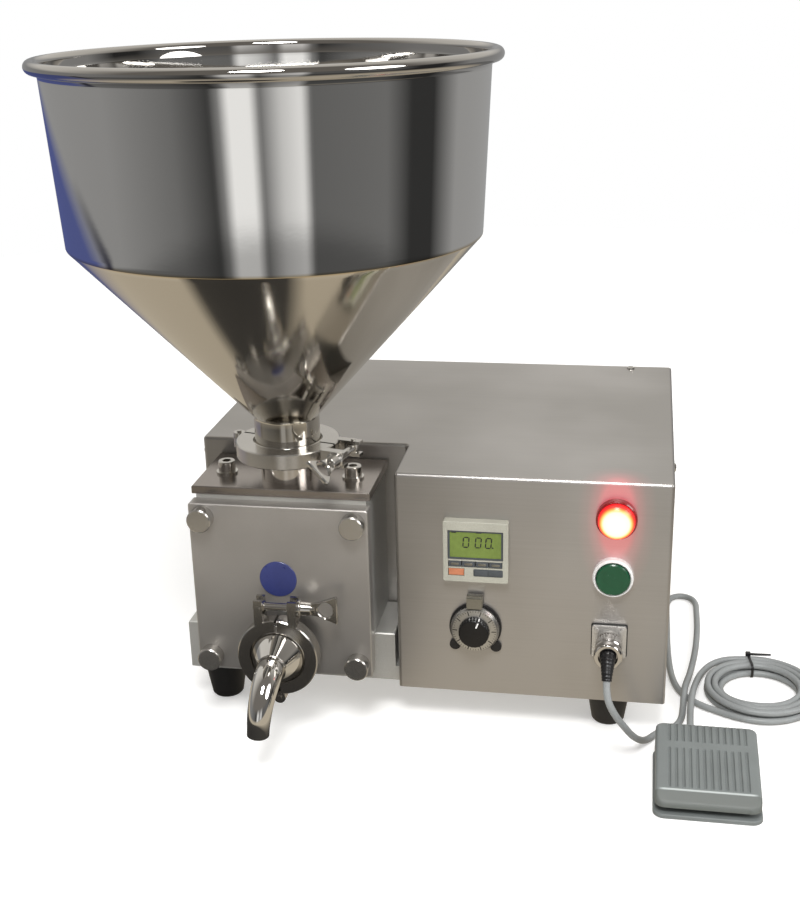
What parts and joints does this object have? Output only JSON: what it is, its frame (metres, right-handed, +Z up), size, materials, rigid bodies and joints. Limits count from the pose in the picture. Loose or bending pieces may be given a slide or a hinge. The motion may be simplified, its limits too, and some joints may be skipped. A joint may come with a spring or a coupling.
{
  "type": "donut filler machine",
  "caption": "Table-top pastry filler: polished steel hopper on a rotor pump with a curved outlet nozzle, boxed drive with timer, dial, lamp and start button, and a corded foot pedal.",
  "frame": {"origin": "on the table, under the middle of the bounding box of the machine with its pedal, cable left out", "axes": "+X to the right as seen from the front, +Y from the front to the back, +Z up; the nozzle and the controls face -Y"},
  "size_m": [0.5682, 0.4356, 0.4992],
  "materials": {
    "cabinet_steel": "brushed",
    "machined_steel": "satin",
    "polished_steel": "polished",
    "screw_steel": "polished",
    "motor_paint": "matt",
    "badge_blue": "gloss",
    "gasket_white": "matt",
    "foot_rubber": "matt",
    "black_plastic": "satin",
    "timer_cream": "satin",
    "display_green": "gloss",
    "key_grey": "matt",
    "key_orange": "matt",
    "dial_silver": "satin",
    "lock_grey": "satin",
    "bezel_white": "gloss",
    "lamp_red": "translucent, lit",
    "lamp_collar": "gloss dark red",
    "button_green": "gloss",
    "connector_chrome": "polished",
    "cable_grey": "satin",
    "pedal_grey": "satin"
  },
  "bodies": {
    "machine": {"cabinet_shell": "cabinet_steel", "rear_panel": "cabinet_steel", "chassis_plate": "machined_steel", "rubber_feet": "foot_rubber", "cabinet_screws": "screw_steel", "mains_inlet": "black_plastic", "gear_motor": "motor_paint", "motor_bracket": "machined_steel", "base_bar": "machined_steel", "pump_block": "machined_steel", "pump_lid": "machined_steel", "lid_screws": "screw_steel", "pump_cover": "machined_steel", "cover_studs": "screw_steel", "badge_disc": "badge_blue", "joint_gaskets": "gasket_white", "hopper": "polished_steel", "hopper_clamp_slotted_half": "polished_steel", "hopper_clamp_pivot_half": "polished_steel", "outlet_clamp_slotted_half": "polished_steel", "outlet_clamp_pivot_half": "polished_steel", "clamp_pins": "screw_steel", "clamp_bolts": "screw_steel", "outlet_nozzle": "polished_steel", "timer_housing": "timer_cream", "timer_display": "display_green", "dial_base": "black_plastic", "lamp_bezel": "lamp_collar", "lamp_lens": "lamp_red", "button_bezel": "bezel_white", "socket_flange": "connector_chrome", "plug_shell": "connector_chrome", "plug_boot": "black_plastic", "cable_lead": "cable_grey", "cable_coil": "cable_grey", "cable_tail": "cable_grey", "pedal_base": "pedal_grey", "pedal_pin": "screw_steel", "pedal_switch": "black_plastic"},
    "drive_rotor_body": {"drive_rotor": "machined_steel", "drive_shaft": "screw_steel"},
    "idler_rotor_body": {"idler_rotor": "machined_steel", "idler_shaft": "screw_steel"},
    "nut_bottom_left": {"thumb_nut_bottom_left": "polished_steel"},
    "nut_bottom_right": {"thumb_nut_bottom_right": "polished_steel"},
    "nut_top_left": {"thumb_nut_top_left": "polished_steel"},
    "nut_top_right": {"thumb_nut_top_right": "polished_steel"},
    "hopper_wing_nut": {"hopper_clamp_wing_nut": "polished_steel"},
    "outlet_wing_nut": {"outlet_clamp_wing_nut": "polished_steel"},
    "start_button": {"button_cap": "button_green"},
    "key_1": {"timer_key_1": "key_grey"},
    "key_2": {"timer_key_2": "key_grey"},
    "key_3": {"timer_key_3": "key_grey"},
    "key_4": {"timer_key_4": "key_grey"},
    "key_reset": {"timer_key_reset": "key_orange"},
    "speed_dial": {"dial_scale": "dial_silver", "dial_knob": "black_plastic"},
    "speed_dial_lock": {"dial_lock": "lock_grey"},
    "coupling_nut": {"plug_nut": "connector_chrome"},
    "pedal_treadle": {"pedal_cover": "pedal_grey"}
  },
  "joints": [
    {"name": "drive_rotor_turn", "type": "hinge", "parent": "machine", "child": "drive_rotor_body", "pos_m": [-0.07205, -0.06965, 0.122], "axis": [0, -1, 0], "continuous": true},
    {"name": "idler_rotor_turn", "type": "hinge", "parent": "machine", "child": "idler_rotor_body", "pos_m": [-0.11825, -0.06965, 0.122], "axis": [0, -1, 0], "continuous": true},
    {"name": "nut_bottom_left_turn", "type": "hinge", "parent": "machine", "child": "nut_bottom_left", "pos_m": [-0.15215, -0.10365, 0.0585], "axis": [0, -1, 0], "continuous": true},
    {"name": "nut_bottom_right_turn", "type": "hinge", "parent": "machine", "child": "nut_bottom_right", "pos_m": [-0.03815, -0.10365, 0.0585], "axis": [0, -1, 0], "continuous": true},
    {"name": "nut_top_left_turn", "type": "hinge", "parent": "machine", "child": "nut_top_left", "pos_m": [-0.15215, -0.10365, 0.1725], "axis": [0, -1, 0], "continuous": true},
    {"name": "nut_top_right_turn", "type": "hinge", "parent": "machine", "child": "nut_top_right", "pos_m": [-0.03815, -0.10365, 0.1725], "axis": [0, -1, 0], "continuous": true},
    {"name": "hopper_wing_nut_turn", "type": "hinge", "parent": "machine", "child": "hopper_wing_nut", "pos_m": [-0.054, -0.09008, 0.216], "axis": [-0.2419, -0.9703, 0], "continuous": true},
    {"name": "outlet_wing_nut_turn", "type": "hinge", "parent": "machine", "child": "outlet_wing_nut", "pos_m": [-0.07315, -0.11365, 0.1097], "axis": [1, 0, 0], "continuous": true},
    {"name": "start_button_press", "type": "slide", "parent": "machine", "child": "start_button", "axis": [0, 1, 0], "range_m": [0, 0.004], "stiffness_N_per_m": 300, "springref_m": -0.002},
    {"name": "key_1_press", "type": "slide", "parent": "machine", "child": "key_1", "axis": [0, 1, 0], "range_m": [0, 0.0006], "stiffness_N_per_m": 800, "springref_m": -0.0005},
    {"name": "key_2_press", "type": "slide", "parent": "machine", "child": "key_2", "axis": [0, 1, 0], "range_m": [0, 0.0006], "stiffness_N_per_m": 800, "springref_m": -0.0005},
    {"name": "key_3_press", "type": "slide", "parent": "machine", "child": "key_3", "axis": [0, 1, 0], "range_m": [0, 0.0006], "stiffness_N_per_m": 800, "springref_m": -0.0005},
    {"name": "key_4_press", "type": "slide", "parent": "machine", "child": "key_4", "axis": [0, 1, 0], "range_m": [0, 0.0006], "stiffness_N_per_m": 800, "springref_m": -0.0005},
    {"name": "key_reset_press", "type": "slide", "parent": "machine", "child": "key_reset", "axis": [0, 1, 0], "range_m": [0, 0.0006], "stiffness_N_per_m": 800, "springref_m": -0.0005},
    {"name": "speed_dial_turn", "type": "hinge", "parent": "machine", "child": "speed_dial", "pos_m": [0.04795, -0.08765, 0.0852], "axis": [0, -1, 0], "range_deg": [-3600, 0]},
    {"name": "speed_dial_lock_turn", "type": "hinge", "parent": "machine", "child": "speed_dial_lock", "pos_m": [0.04795, -0.08165, 0.0852], "axis": [0, -1, 0], "range_deg": [0, 25]},
    {"name": "coupling_nut_turn", "type": "hinge", "parent": "machine", "child": "coupling_nut", "pos_m": [0.14695, -0.08965, 0.0805], "axis": [0, -1, 0], "continuous": true},
    {"name": "pedal_press", "type": "hinge", "parent": "machine", "child": "pedal_treadle", "pos_m": [0.21885, -0.10315, 0.0105], "axis": [1, 0, 0], "range_deg": [0, 3], "stiffness_Nm_per_rad": 1, "springref_deg": -5.73}
  ],
  "couplings": [
    {"joint": "idler_rotor_turn", "follows": "drive_rotor_turn", "ratio": -1}
  ]
}
